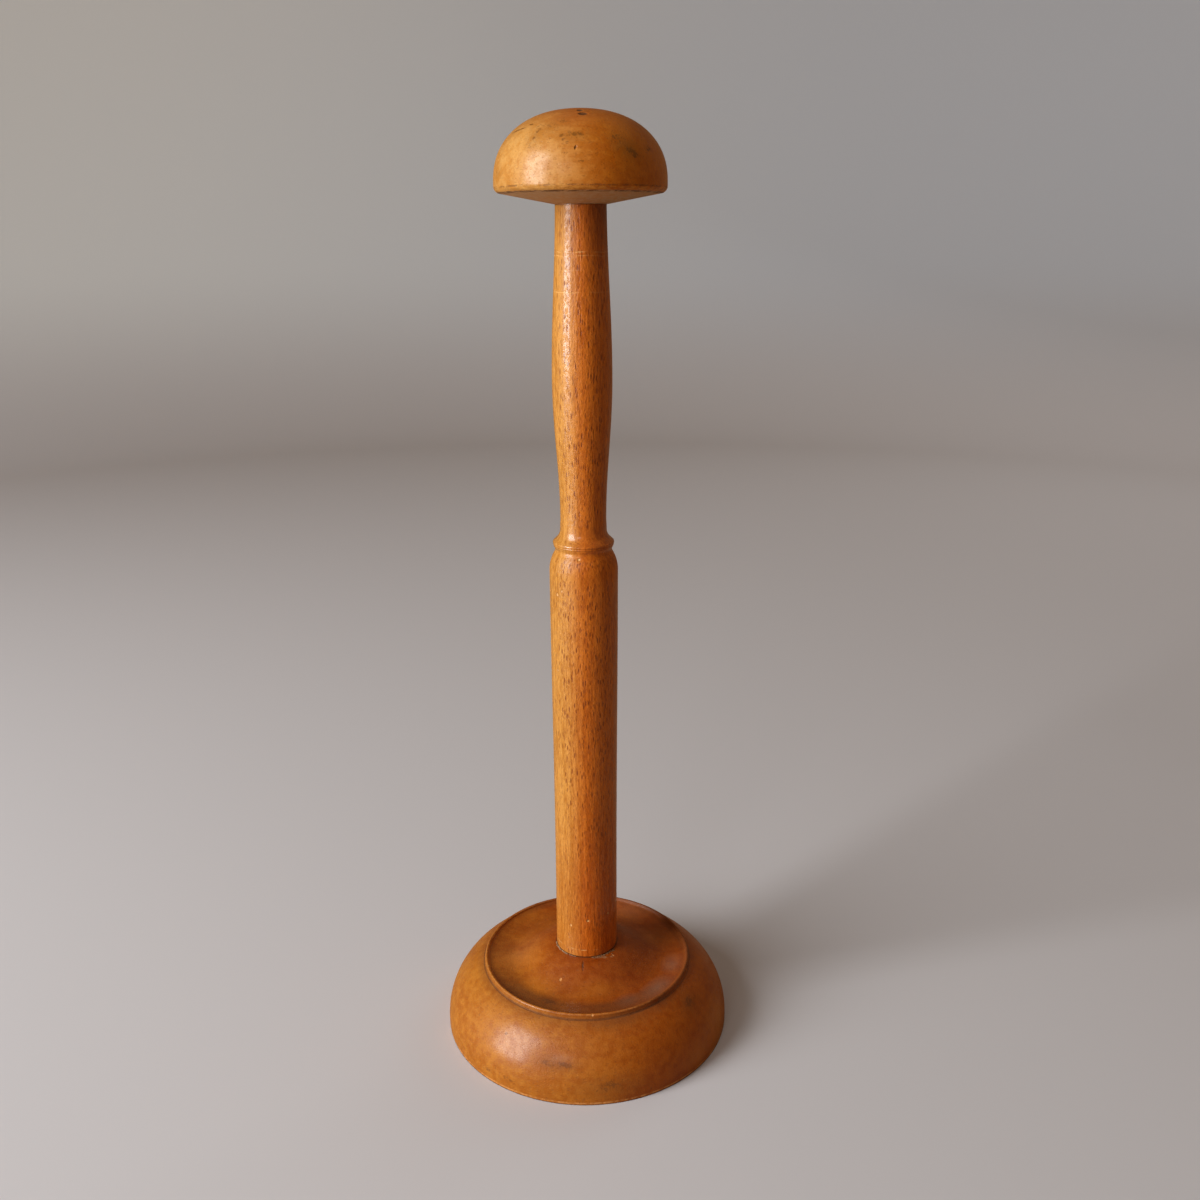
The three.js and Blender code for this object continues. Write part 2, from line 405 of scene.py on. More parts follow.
postLook = {
    "light": rgb(0.70, 0.225, 0.026),
    "dark": rgb(0.52, 0.142, 0.011),
    "fleck": rgb(0.20, 0.034, 0.002),
    "worn": rgb(0.88, 0.46, 0.15),
    "grimeAndShade": rgb(0.10, 0.035, 0.012),
    "litSideReach": (5.5, 13.4), "shadedSideTint": rgb(0.97, 0.78, 0.42), "litSideTint": rgb(0.97, 1.38, 2.3),
    "toneReach": (0.43, 0.57),
    "footTint": rgb(0.96, 0.83, 0.70), "footTintReach": (120, 60),
    "neckShadeTint": rgb(0.88, 0.86, 0.80), "neckShadeReach": (310, 340),
    "noise": {
        "fibres": {"scale": (1250, 1250, 150), "detail": 3, "rough": 0.7},
        "streaks": {"scale": (520, 520, 18), "detail": 4, "rough": 0.6},
        "pits": {"scale": (1000, 1000, 620), "detail": 3, "rough": 0.7},
        "patches": {"scale": (60, 60, 18), "detail": 3, "rough": 0.5},
        "wander": {"scale": 160},
        "broken": {"scale": 300},
    },
    "strength": {"shortMarks": 0.6, "marks": 0.85, "lines": 0.75, "joints": 0.7, "shadeUnderHead": 0.45},
    # the marks are ray flecks. They thin out over marksReach, down towards the foot
    "longMarks": {"spacing": (0.98, 0.98, 4.2), "size": 0.38},
    "shortMarks": {"spacing": (0.78, 0.78, 2.3), "size": 0.36},
    "marksReach": (50, 130),
    # height and strength of each line, how far it wanders, its soft edge, and where along X it is painted
    # brighter on the lit left, a painted highlight
    "scribedLines": ((331.8, 0.9), (330.5, 0.8), (325.4, 0.2), (317.7, 0.7), (39.6, 0.9)),
    "lineWander": 1.2, "lineEdge": (0.34, 0.10), "lineHighlightReach": (5, -3),
    # heights
    "sanded": (215, 217.5, 226, 230), "dullShoulder": (203, 209, 216.5, 219), "dullNeck": (320, 345),
    "footJoint": (36.8, 36.2), "neckJoint": (347.8, 348.6), "shadeUnderHeadHeight": (325, 346),
    # along X
    "shadeUnderHeadSide": (-1, 7),
    "rough": (0.34, 0.52), "shine": 0.34, "coat": 0.88, "coatRough": 0.17, "bump": 0.25,
    "dings": [
        {"at": (-1.7, -11.9, 216.3), "size": (0.9, 1.5, 0.8)},
        {"at": (-10.4, -9.1, 201.3), "size": (0.8, 1.5, 1.1), "roll": -30},
        {"at": (-8.6, -10.9, 203.3), "size": (0.6, 1.5, 0.7)},
        {"at": (-10.7, -8.5, 168.9), "size": (0.6, 1.5, 0.8)},
        {"at": (-6.7, -11.6, 51.2), "size": (0.7, 1.5, 0.9)},
        {"at": (0.7, -13.4, 54.4), "size": (0.9, 1.5, 0.8)},
        {"at": (9.4, -9.5, 55.8), "size": (0.7, 1.5, 0.8)},
    ],
}


def beechPost(look):
    material, tree, place = startMaterial("flecked beech post")
    x, y, z = coordinates(tree, place)
    radius = fromAxis(tree, x, y)
    noise, strength = look["noise"], look["strength"]
    fibres = cloud(tree, place, **noise["fibres"])
    streaks = cloud(tree, place, **noise["streaks"])
    pits = cloud(tree, place, **noise["pits"])
    patches = cloud(tree, place, **noise["patches"])
    tone = blend(tree, [(fibres, 0.52), (streaks, 0.26), (patches, 0.22)])
    colour = layer(tree, fade(tree, tone, *look["toneReach"]), look["dark"], look["light"])
    colour = tinted(tree, ramp(tree, z, look["footTintReach"]), colour, look["footTint"])
    # painted shade: the neck is darkened towards the head above it
    colour = tinted(tree, ramp(tree, z, look["neckShadeReach"]), colour, look["neckShadeTint"])
    # the painted lit and shaded sides reach slim parts as if they were as thick as the foot
    thicken = calc(tree, "DIVIDE", postSizes["foot"] / 2 * mm, radius)
    colour = paintLitAndShadedSides(tree, times(tree, x, thicken), times(tree, y, thicken), colour, look)
    # flecks are strongest on the two faces cut along the growth rings, here front and back
    shortMarks = flecks(tree, place, **look["shortMarks"])
    longMarks = flecks(tree, place, **look["longMarks"])
    marks = strongest(tree, longMarks, times(tree, shortMarks, strength["shortMarks"]))
    frontShare = calc(tree, "DIVIDE", times(tree, y, y), times(tree, radius, radius))
    dense = fade(tree, frontShare, 0.0, 0.75, 0.45, 1.0)
    dense = times(tree, dense, ramp(tree, z, look["marksReach"], 0.6, 1.0))
    marks = times(tree, marks, dense)
    # the rings were sanded smooth
    sanded = band(tree, z, look["sanded"])
    marks = times(tree, marks, lessen(tree, sanded, 0.55))
    colour = stained(tree, marks, strength["marks"], colour, look["fleck"])
    wander = calc(tree, "SUBTRACT", cloud(tree, place, **noise["wander"]), 0.5)
    level = calc(tree, "ADD", z, times(tree, wander, look["lineWander"] * mm))
    lines = 0.0
    for lineAt, share in look["scribedLines"]:
        away = calc(tree, "ABSOLUTE", calc(tree, "SUBTRACT", level, lineAt * mm))
        lines = strongest(tree, lines, ramp(tree, away, look["lineEdge"], 0.0, share))
    lines = times(tree, lines, fade(tree, cloud(tree, place, **noise["broken"]), 0.40, 0.60))
    # the pale lines are real scribed lines, painted brighter on the lit left as a painted highlight
    lines = times(tree, lines, ramp(tree, x, look["lineHighlightReach"], 0.3, 1.0))
    colour = stained(tree, lines, strength["lines"], colour, look["worn"])
    # each ding is dark at its edge and bare in the middle
    dings = spots(tree, place, look["dings"])
    colour = layer(tree, fade(tree, dings, 0.05, 0.4, 0.0, 0.6), colour, look["fleck"])
    colour = layer(tree, fade(tree, dings, 0.3, 0.55), colour, look["worn"])
    joints = strongest(tree, ramp(tree, z, look["footJoint"]), ramp(tree, z, look["neckJoint"]))
    joints = times(tree, joints, strength["joints"])
    # painted shade under the head, on the side away from the window light; the joints are real dark lines
    shadeUnderHead = ramp(tree, x, look["shadeUnderHeadSide"], 0.0, strength["shadeUnderHead"])
    shadeUnderHead = times(tree, ramp(tree, z, look["shadeUnderHeadHeight"]), shadeUnderHead)
    colour = layer(tree, strongest(tree, joints, shadeUnderHead), colour, look["grimeAndShade"])
    rough = fade(tree, streaks, 0.3, 0.7, *look["rough"])
    height = blend(tree, [(fibres, 0.7), (pits, 0.9), (streaks, 0.4), (marks, -0.2), (lines, -0.5)])
    height = times(tree, height, lessen(tree, sanded, 0.15))
    height = calc(tree, "SUBTRACT", height, times(tree, dings, 1.2))
    # the varnish is worn dull round the shoulder and under the head, and full of fine pits
    dullNeck = ramp(tree, z, look["dullNeck"], 0.0, 0.7)
    dull = strongest(tree, band(tree, z, look["dullShoulder"]), dullNeck)
    pitted = strongest(tree, fade(tree, pits, 0.45, 0.54, 0.12, 1.0), sanded)
    varnish(tree, colour, rough, height, times(tree, lessen(tree, dull, 0.3), pitted), look)
    return material


# Finish of the head: smooth golden varnish with stains, two dents near the top, a small one in front and a
# rubbed lower edge.

headLook = {
    "light": rgb(0.70, 0.285, 0.040),
    "dark": rgb(0.56, 0.190, 0.018),
    "stain": rgb(0.22, 0.080, 0.010),
    "worn": rgb(0.82, 0.38, 0.07),
    "edge": rgb(0.12, 0.045, 0.015),
    "underside": rgb(0.58, 0.36, 0.21),
    "litSideReach": (4, 29), "shadedSideTint": rgb(0.90, 0.65, 0.16), "litSideTint": rgb(0.94, 1.16, 2.1),
    "toneReach": (0.41, 0.59),
    "crownReflectionTint": rgb(0.92, 0.86, 1.2), "crownReflectionHeight": (370, 379), "crownReflectionSide": (-14, 2),
    # the grain lies along X
    "noise": {
        "patches": {"scale": 45, "detail": 4, "rough": 0.55},
        "grain": {"scale": (60, 420, 420), "detail": 3, "rough": 0.6},
        "mottle": {"scale": 420, "detail": 4, "rough": 0.65},
        "freckles": {"scale": 950, "detail": 3, "rough": 0.6},
        "nicks": {"scale": (330, 330, 900), "detail": 4, "rough": 0.7},
        "fine": {"scale": 1100, "detail": 3, "rough": 0.65},
    },
    "strength": {
        "pores": 0.22, "freckles": 0.38, "stains": 0.8, "dents": 0.85,
        "rubbed": 0.4, "grimy": 0.8, "corner": 0.85,
    },
    "pores": {"spacing": (2.4, 0.6, 0.6), "size": 0.34},
    # heights
    "rubbed": (352.5, 353.0, 353.5, 354.0), "grimy": (353.7, 354.1, 354.2, 354.7),
    "corner": (351.9, 352.25, 352.4, 352.7), "undersideReach": (352.7, 352.3),
    "rough": (0.34, 0.52), "shine": 0.28, "coat": 0.43, "coatRough": 0.20, "bump": 0.12,
    "stains": [
        {"at": (-13.9, -21.8, 372.0), "size": (2.4, 4, 3.6), "roll": 25, "strength": 0.75},
        {"at": (-15.6, -23.1, 369.3), "size": (2.2, 4, 3.4), "roll": 30, "strength": 0.8},
        {"at": (-17.0, -24.0, 366.9), "size": (2.0, 4, 2.8), "roll": 35, "strength": 0.6},
        {"at": (-10.1, -22.0, 373.6), "size": (5.6, 4, 3.2), "roll": -15, "strength": 0.62},
        {"at": (-14.4, -20.0, 373.8), "size": (3.2, 4, 2.6), "strength": 0.6},
        {"at": (-5.2, -21.7, 375.0), "size": (4.6, 4, 1.5), "roll": 5, "strength": 0.8},
        {"at": (-0.7, -27.3, 370.3), "size": (7.0, 4, 3.0), "roll": 8, "strength": 0.86},
        {"at": (-5.9, -26.8, 370.1), "size": (1.6, 3, 1.4), "strength": 1.0},
        {"at": (-5.4, -27.8, 368.8), "size": (1.5, 3, 1.2), "strength": 0.9},
        {"at": (-7.0, -27.8, 368.2), "size": (2.4, 3, 2.2), "strength": 0.6},
        {"at": (-3.9, -28.6, 367.9), "size": (2.0, 3, 1.5), "strength": 0.75},
        {"at": (-4.6, -30.3, 364.0), "size": (2.4, 3, 2.4), "roll": -30, "strength": 0.65},
        {"at": (0.6, -31.2, 361.7), "size": (4.0, 3, 0.9), "strength": 0.75},
        {"at": (18.0, -24.3, 365.1), "size": (6.8, 5, 2.4), "roll": 28, "strength": 0.95},
        {"at": (19.0, -24.2, 363.8), "size": (2.2, 3, 1.2), "roll": 28, "strength": 1.2},
        {"at": (13.2, -24.8, 369.2), "size": (7.5, 6, 5.0), "strength": 0.62},
        {"at": (24.0, -17.8, 366.0), "size": (5.0, 5, 4.0), "strength": 0.7},
        {"at": (11.5, -29.0, 358.0), "size": (3.5, 3, 2.0), "strength": 0.6},
        {"at": (-29.4, -11.6, 359.2), "size": (3.0, 4, 3.0), "strength": 0.6},
    ],
    "smudges": [
        {"at": (16.1, -25.2, 366.4), "size": (8.5, 8, 5.5), "roll": 25, "strength": 0.55},
        {"at": (-1.5, -27.0, 370.0), "size": (9.0, 6, 3.2), "strength": 0.32},
        {"at": (-15.0, -23.0, 370.0), "size": (5.0, 6, 6.5), "roll": 30, "strength": 0.30},
        {"at": (-8.5, -23.5, 372.5), "size": (8.0, 6, 5.0), "strength": 0.18},
        {"at": (-28.5, -13.6, 358.5), "size": (4.0, 5, 4.0), "strength": 0.28},
    ],
    "dents": [
        {"at": (0.3, -13.9, 379.3), "size": (1.4, 2.0, 1.0)},
        {"at": (1.4, -17.8, 377.8), "size": (2.2, 2.2, 1.0)},
        {"at": (-1.1, -29.8, 366.0), "size": (0.7, 1.5, 1.3), "roll": 15, "strength": 0.5},
    ],
    "scratches": [
        {"at": (-21.6, -13.0, 372.9), "size": (6.0, 4, 0.5), "roll": -10},
        {"at": (-16.8, -16.2, 374.5), "size": (1.6, 2, 0.4), "roll": 5},
    ],
}


def goldenHead(look):
    material, tree, place = startMaterial("golden varnished head")
    x, y, z = coordinates(tree, place)
    noise, strength = look["noise"], look["strength"]
    patches = cloud(tree, place, **noise["patches"])
    grain = cloud(tree, place, **noise["grain"])
    mottle = cloud(tree, place, **noise["mottle"])
    tone = blend(tree, [(patches, 0.40), (grain, 0.25), (mottle, 0.35)])
    colour = layer(tree, fade(tree, tone, *look["toneReach"]), look["dark"], look["light"])
    # painted light and shade: lighter gold towards the window light, deeper red away from it
    colour = paintLitAndShadedSides(tree, x, y, colour, look)
    # painted reflection: the top of the dome is tinted greyer and cooler, most on its right, as a grazing
    # reflection of the room
    crownReflection = times(tree, ramp(tree, z, look["crownReflectionHeight"]), ramp(tree, x, look["crownReflectionSide"], 0.2, 1.0))
    colour = tinted(tree, crownReflection, colour, look["crownReflectionTint"])
    pores = flecks(tree, place, **look["pores"])
    freckles = fade(tree, cloud(tree, place, **noise["freckles"]), 0.60, 0.76)
    colour = stained(tree, pores, strength["pores"], colour, look["stain"])
    colour = stained(tree, freckles, strength["freckles"], colour, look["stain"])
    smudges = times(tree, spots(tree, place, look["smudges"]), fade(tree, mottle, 0.3, 0.6, 0.5, 1.0))
    colour = layer(tree, smudges, colour, look["stain"])
    stains = ragged(tree, place, spots(tree, place, look["stains"]))
    colour = stained(tree, stains, strength["stains"], colour, look["stain"])
    scratches = fade(tree, spots(tree, place, look["scratches"]), 0.1, 0.5)
    scratches = times(tree, scratches, fade(tree, mottle, 0.34, 0.52, 0.4, 0.9))
    colour = layer(tree, scratches, colour, look["stain"])
    dents = fade(tree, spots(tree, place, look["dents"]), 0.05, 0.6)
    colour = stained(tree, dents, strength["dents"], colour, look["edge"])
    # the lower corner is rubbed in places, with fine dark lines along it
    nicks = cloud(tree, place, **noise["nicks"])
    rubbed = times(tree, band(tree, z, look["rubbed"]), fade(tree, nicks, 0.44, 0.56))
    colour = stained(tree, rubbed, strength["rubbed"], colour, look["worn"])
    grimy = times(tree, band(tree, z, look["grimy"]), fade(tree, nicks, 0.54, 0.42, 0.0, 0.7))
    colour = stained(tree, grimy, strength["grimy"], colour, look["edge"])
    # the underside is painted a paler brownish grey, partly dust and partly a painted reflection of the
    # floor, and has hardly any varnish
    under = ramp(tree, z, look["undersideReach"])
    dustAndReflection = layer(tree, fade(tree, mottle, 0.35, 0.65), look["underside"], colour)
    colour = layer(tree, under, colour, layer(tree, 0.35, look["underside"], dustAndReflection))
    corner = times(tree, band(tree, z, look["corner"]), fade(tree, nicks, 0.60, 0.44))
    colour = stained(tree, corner, strength["corner"], colour, look["edge"])
    rough = fade(tree, mottle, 0.3, 0.7, *look["rough"])
    rough = calc(tree, "ADD", rough, times(tree, under, 0.25))
    coat = times(tree, lessen(tree, under, 0.15), fade(tree, mottle, 0.42, 0.56, 0.35, 1.0))
    fine = cloud(tree, place, **noise["fine"])
    height = blend(tree, [
        (fine, 0.6), (mottle, 0.5), (pores, -0.5), (dents, -5.0),
        (scratches, -1.0), (grimy, -1.2), (rubbed, -0.6),
    ])
    varnish(tree, colour, rough, height, coat, look)
    return material


# Finish of the base: redder and darker, with old dirt and painted shade in the dish and outside the ridge,
# golden painted light in places and a painted shadow along its foot.

baseLook = {
    "light": rgb(0.54, 0.164, 0.009),
    "dark": rgb(0.41, 0.102, 0.005),
    "stain": rgb(0.14, 0.044, 0.012),
    "dirtAndShade": rgb(0.120, 0.044, 0.018),
    "golden": rgb(0.60, 0.190, 0.014),
    "bloomAndSheenGrey": rgb(0.30, 0.17, 0.11),
    "worn": rgb(0.72, 0.31, 0.09),
    "litSideReach": (-8, 55), "shadedSideTint": rgb(0.90, 0.68, 0.36), "litSideTint": rgb(1.0, 1.17, 1.95),
    "toneReach": (0.41, 0.59),
    "dishTint": rgb(0.80, 0.70, 0.62), "dishEdge": (44.2, 42.5), "dishSide": (-32, 0),
    # the grain lies along X
    "noise": {
        "patches": {"scale": 32, "detail": 5, "rough": 0.6},
        "grain": {"scale": (45, 420, 420), "detail": 4, "rough": 0.6},
        "mottle": {"scale": 330, "detail": 4, "rough": 0.65},
        "rings": {"scale": 620},
        "drips": {"scale": (210, 210, 35), "detail": 3, "rough": 0.6},
        "freckles": {"scale": 800, "detail": 3, "rough": 0.6},
        "crack": {"scale": 1400},
        "nicks": {"scale": 420, "detail": 3, "rough": 0.65},
        "fine": {"scale": 1300, "detail": 3, "rough": 0.65},
    },
    "stainGrit": 700,
    "strength": {
        "pores": 0.22, "freckles": 0.5, "stains": 0.5, "cove": 0.60, "halo": 0.35, "quirk": 0.7,
        "farRidge": 0.42, "nearRidge": 0.45, "film": 0.6, "joint": 0.75, "rubbedAndLitShoulders": 0.4, "standing": 0.85,
    },
    "pores": {"spacing": (3.2, 0.6, 0.6), "size": 0.34},
    # distances from the axis
    "cove": (33, 37.5, 42.5, 44.6), "halo": (45.2, 45.9, 46.4, 50.5), "quirk": (45.7, 45.95, 46.3, 46.7),
    "farRidge": (41.0, 43.6, 45.4, 45.9), "nearRidge": (43.8, 44.4, 45.4, 45.9),
    "outerShoulder": (45.05, 45.25, 45.4, 45.6), "innerShoulder": (44.3, 44.45, 44.6, 44.75),
    "joint": (14.1, 13.5),
    # heights
    "arris": (0.5, 0.75, 1.1, 1.6), "standing": (0.55, 0.3),
    # reaches across the base, towards its left, front, far side and right
    "leftReach": (32, -12), "frontReach": (-8, -30), "farReach": (-10, 30), "rightReach": (2, 24),
    "rough": (0.38, 0.58), "shine": 0.28, "coat": 0.50, "coatRough": 0.22, "bump": 0.16,
    "stains": [
        {"at": (-16.0, -56.9, 16.5), "size": (6.5, 5, 3.0), "roll": 10, "strength": 0.8},
        {"at": (-8.0, -58.6, 16.4), "size": (7.5, 5, 2.0), "roll": 5, "strength": 1.0},
        {"at": (9.4, -61.2, 8.5), "size": (14, 6, 5), "strength": 0.7},
        {"at": (44.4, -28.4, 24.2), "size": (8, 6, 4.5), "strength": 0.8},
        {"at": (-40.7, -47.3, 5.0), "size": (8, 5, 3.5), "strength": 0.75},
        {"at": (-31.9, -53.6, 5.3), "size": (7, 5, 3.0), "strength": 0.75},
        {"at": (-33.4, -44.7, 21.1), "size": (1.2, 2, 1.0), "strength": 1.3},
        {"at": (-24.0, -28.0, 28.6), "size": (5, 5, 4), "strength": 0.6},
        {"at": (-15.5, -34.0, 28.5), "size": (7, 4, 4), "strength": 1.0},
        {"at": (32.0, -33.0, 29.5), "size": (8, 4, 4), "strength": 0.7},
    ],
    "smudges": [
        {"at": (-12.0, -57.8, 16.4), "size": (12, 8, 4.0), "strength": 0.40},
        {"at": (11.0, -61.0, 7.5), "size": (20, 9, 8), "strength": 0.40},
        {"at": (44.4, -28.4, 24.2), "size": (10, 8, 7), "strength": 0.50},
        {"at": (-16.5, -31.5, 29.0), "size": (6, 4, 4), "strength": 0.45},
        {"at": (17.0, 15.0, 33.0), "size": (12, 12, 9), "strength": 0.30},
        {"at": (33.0, -34.0, 29.0), "size": (12, 6, 5), "strength": 0.45},
        {"at": (14.0, -46.0, 27.5), "size": (20, 6, 4), "strength": 0.40},
    ],
    "chips": [
        {"at": (-11.2, -23.0, 31.6), "size": (0.9, 1.3, 1.2)},
        {"at": (-43.3, -11.8, 30.6), "size": (0.8, 0.8, 0.8)},
        {"at": (2.6, -45.4, 30.4), "size": (0.8, 0.8, 0.8)},
        {"at": (11.6, -11.7, 36.0), "size": (0.5, 1.0, 0.6)},
        {"at": (11.6, -14.8, 35.6), "size": (0.5, 0.8, 0.6)},
    ],
    "crack": {"at": (-1.55, -18.2, 35.1), "size": (0.55, 3.8, 1.8)},
    # glue that ran out thin over the dish
    "glued": rgb(0.46, 0.25, 0.11),
    "glueFilm": [
        {"at": (7.4, -13.4, 36.1), "size": (3.4, 1.8, 1.2), "strength": 0.9},
        {"at": (10.9, -12.4, 36.0), "size": (2.8, 2.0, 1.2), "strength": 0.9},
    ],
    # greyish patches on the dish: varnish bloom and a painted greyish sheen
    "bloomAndSheen": [
        {"at": (30.5, -24.5, 28.6), "size": (14, 6, 5), "strength": 0.6},
        {"at": (38.0, -8.0, 28.8), "size": (10, 6, 5), "strength": 0.5},
        {"at": (18.0, -33.0, 28.6), "size": (8, 5, 4), "strength": 0.4},
        {"at": (-30.0, 0.0, 29.5), "size": (14, 22, 7), "strength": 0.16},
        {"at": (20.0, 34.0, 29.5), "size": (16, 10, 7), "strength": 0.25},
    ],
    # painted light: golden patches that lighten the dish, its shaded cove, the post's cast shadow and the
    # shaded right side
    "paintedLightSpots": [
        {"at": (-20.0, -24.5, 30.0), "size": (12, 10, 6), "strength": 0.95},
        {"at": (-25.0, -5.0, 31.0), "size": (11, 15, 7), "strength": 0.7},
        {"at": (4.0, -28.0, 30.5), "size": (17, 6, 5), "strength": 0.5},
        {"at": (-19.0, 23.0, 31.0), "size": (16, 14, 8), "strength": 0.95},
        {"at": (-36.0, -4.0, 29.0), "size": (8, 20, 6), "strength": 0.7},
        {"at": (-28.0, 13.0, 29.5), "size": (10, 10, 6), "strength": 0.9},
        {"at": (-30.0, 30.0, 29.0), "size": (11, 9, 6), "strength": 0.9},
        {"at": (20.0, 28.0, 30.0), "size": (14, 12, 8), "strength": 0.3},
        {"at": (35.0, 15.0, 29.0), "size": (14, 14, 7), "strength": 1.0},
        {"at": (57.0, -22.0, 7.0), "size": (18, 30, 16), "strength": 0.9},
        {"at": (46.0, -38.0, 6.0), "size": (12, 12, 8), "strength": 0.6},
    ],
}


def dirtyBase(look):
    material, tree, place = startMaterial("reddish varnished base")
    x, y, z = coordinates(tree, place)
    radius = fromAxis(tree, x, y)
    noise, strength = look["noise"], look["strength"]
    patches = cloud(tree, place, **noise["patches"])
    grain = cloud(tree, place, **noise["grain"])
    mottle = cloud(tree, place, **noise["mottle"])
    # faint rings left by the turning tool follow the radius
    ringPlace = put(tree, "CombineXYZ", {"X": radius, "Y": times(tree, z, 0.6)}).outputs[0]
    rings = cloud(tree, ringPlace, **noise["rings"])
    drips = cloud(tree, place, **noise["drips"])
    tone = blend(tree, [(patches, 0.30), (grain, 0.14), (mottle, 0.34), (rings, 0.10), (drips, 0.12)])
    colour = layer(tree, fade(tree, tone, *look["toneReach"]), look["dark"], look["light"])
    # painted light and shade: lighter gold towards the window light, deeper red away from it
    colour = paintLitAndShadedSides(tree, x, y, colour, look)
    pores = flecks(tree, place, **look["pores"])
    freckles = fade(tree, cloud(tree, place, **noise["freckles"]), 0.62, 0.78)
    colour = stained(tree, pores, strength["pores"], colour, look["stain"])
    colour = stained(tree, freckles, strength["freckles"], colour, look["stain"])
    dish = times(tree, ramp(tree, radius, look["dishEdge"]), ramp(tree, x, look["dishSide"], 0.45, 1.0))
    colour = tinted(tree, dish, colour, look["dishTint"])
    # painted light in golden patches
    paintedLightSpots = times(tree, spots(tree, place, look["paintedLightSpots"]), fade(tree, patches, 0.35, 0.6, 0.3, 1.0))
    colour = layer(tree, paintedLightSpots, colour, look["golden"])
    # varnish bloom and a painted greyish sheen
    bloomAndSheen = times(tree, spots(tree, place, look["bloomAndSheen"]), fade(tree, patches, 0.35, 0.55, 0.4, 1.0))
    colour = layer(tree, bloomAndSheen, colour, look["bloomAndSheenGrey"])
    smudges = times(tree, spots(tree, place, look["smudges"]), fade(tree, mottle, 0.3, 0.6, 0.6, 1.0))
    colour = layer(tree, smudges, colour, look["stain"])
    stains = ragged(tree, place, spots(tree, place, look["stains"]), look["stainGrit"])
    colour = stained(tree, stains, strength["stains"], colour, look["stain"])
    # dirt and painted shade lie in the cove, most on its left and front where its wall faces away from the
    # window light, and in the quirk outside the ridge
    leftward = calc(tree, "ADD", x, times(tree, y, 0.5))
    leftward = ramp(tree, leftward, look["leftReach"], 0.4, 1.0)
    uneven = fade(tree, blend(tree, [(patches, 0.6), (rings, 0.4)]), 0.35, 0.65, 0.55, 1.0)
    dirtAndShadeWeight = times(tree, leftward, uneven)
    cove = times(tree, band(tree, radius, look["cove"]), dirtAndShadeWeight)
    cove = times(tree, cove, ramp(tree, y, look["frontReach"], 0.0, strength["cove"]))
    colour = layer(tree, cove, colour, look["dirtAndShade"])
    halo = times(tree, band(tree, radius, look["halo"]), dirtAndShadeWeight)
    quirk = times(tree, band(tree, radius, look["quirk"]), fade(tree, dirtAndShadeWeight, 0.1, 0.7, 0.5, 1.0))
    quirk = strongest(tree, times(tree, halo, strength["halo"]), times(tree, quirk, strength["quirk"]))
    colour = layer(tree, quirk, colour, look["dirtAndShade"])
    # painted shade: the ridge is darkened on its far side and on its right
    farSide = ramp(tree, calc(tree, "ADD", x, times(tree, y, 1.2)), look["farReach"])
    farRidge = times(tree, band(tree, radius, look["farRidge"]), farSide)
    colour = stained(tree, farRidge, strength["farRidge"], colour, look["dirtAndShade"])
    nearSide = ramp(tree, x, look["rightReach"], 0.0, strength["nearRidge"])
    nearRidge = times(tree, band(tree, radius, look["nearRidge"]), nearSide)
    colour = stained(tree, nearRidge, uneven, colour, look["dirtAndShade"])
    film = ragged(tree, place, spots(tree, place, look["glueFilm"]))
    colour = stained(tree, film, strength["film"], colour, look["glued"])
    joint = ramp(tree, radius, look["joint"])
    colour = stained(tree, joint, strength["joint"], colour, look["dirtAndShade"])
    crack = fade(tree, spot(tree, place, **look["crack"]), 0.0, 0.5)
    crack = times(tree, crack, fade(tree, cloud(tree, place, **noise["crack"]), 0.35, 0.6, 0.3, 1.0))
    colour = layer(tree, crack, colour, look["dirtAndShade"])
    # rubbed places: both shoulders of the ridge, only on its lit left and front, so wear and a painted
    # highlight, the bottom arris and a few chips
    nicks = fade(tree, cloud(tree, place, **noise["nicks"]), 0.40, 0.58, 0.2, 1.0)
    outer, inner = look["outerShoulder"], look["innerShoulder"]
    rubbedAndLitShoulders = strongest(tree, band(tree, radius, outer), band(tree, radius, inner))
    rubbedAndLitShoulders = times(tree, rubbedAndLitShoulders, fade(tree, leftward, 0.5, 1.0, 0.0, strength["rubbedAndLitShoulders"]))
    rubbed = times(tree, strongest(tree, rubbedAndLitShoulders, band(tree, z, look["arris"])), nicks)
    chips = fade(tree, spots(tree, place, look["chips"]), 0.2, 0.6)
    colour = layer(tree, strongest(tree, rubbed, chips), colour, look["worn"])
    # painted shadow: the lowest edge is darkened where the base stands on the floor
    standing = ramp(tree, z, look["standing"], 0.0, strength["standing"])
    colour = layer(tree, standing, colour, look["dirtAndShade"])
    rough = fade(tree, mottle, 0.3, 0.7, *look["rough"])
    fine = cloud(tree, place, **noise["fine"])
    height = blend(tree, [
        (fine, 0.9), (mottle, 0.3), (rings, 0.2), (pores, -0.3), (crack, -1.5), (chips, -1.0),
    ])
    coat = times(tree, lessen(tree, farRidge, 0.1), fade(tree, freckles, 0.0, 0.5, 1.0, 0.3))
    coat = times(tree, coat, fade(tree, mottle, 0.40, 0.58, 0.55, 1.0))
    varnish(tree, colour, rough, height, coat, look)
    return material


# Glue that squeezed out round the foot and dried.

glueLook = {
    "pale": rgb(0.46, 0.32, 0.20), "brown": rgb(0.27, 0.13, 0.055), "dust": rgb(0.16, 0.07, 0.03),
    "paleReach": (-6, 3), "noise": {"scale": 900, "detail": 3, "rough": 0.6}, "rough": 0.4, "seed": 7,
    # front angle in degrees from and to, blobs, their size and how far they spread
    "runs": [(-84, -38, 64, 0.24, 0.2), (-34, -20, 14, 0.15, 0.2), (10, 58, 80, 0.24, 0.75)],
    # distance from the post, then each blob's range of sizes, and its width, depth, height and lift as shares
    "away": 0.1, "sizeRange": (0.5, 1.25), "shape": (1.5, 1.0, 0.6), "lift": 0.1,
}


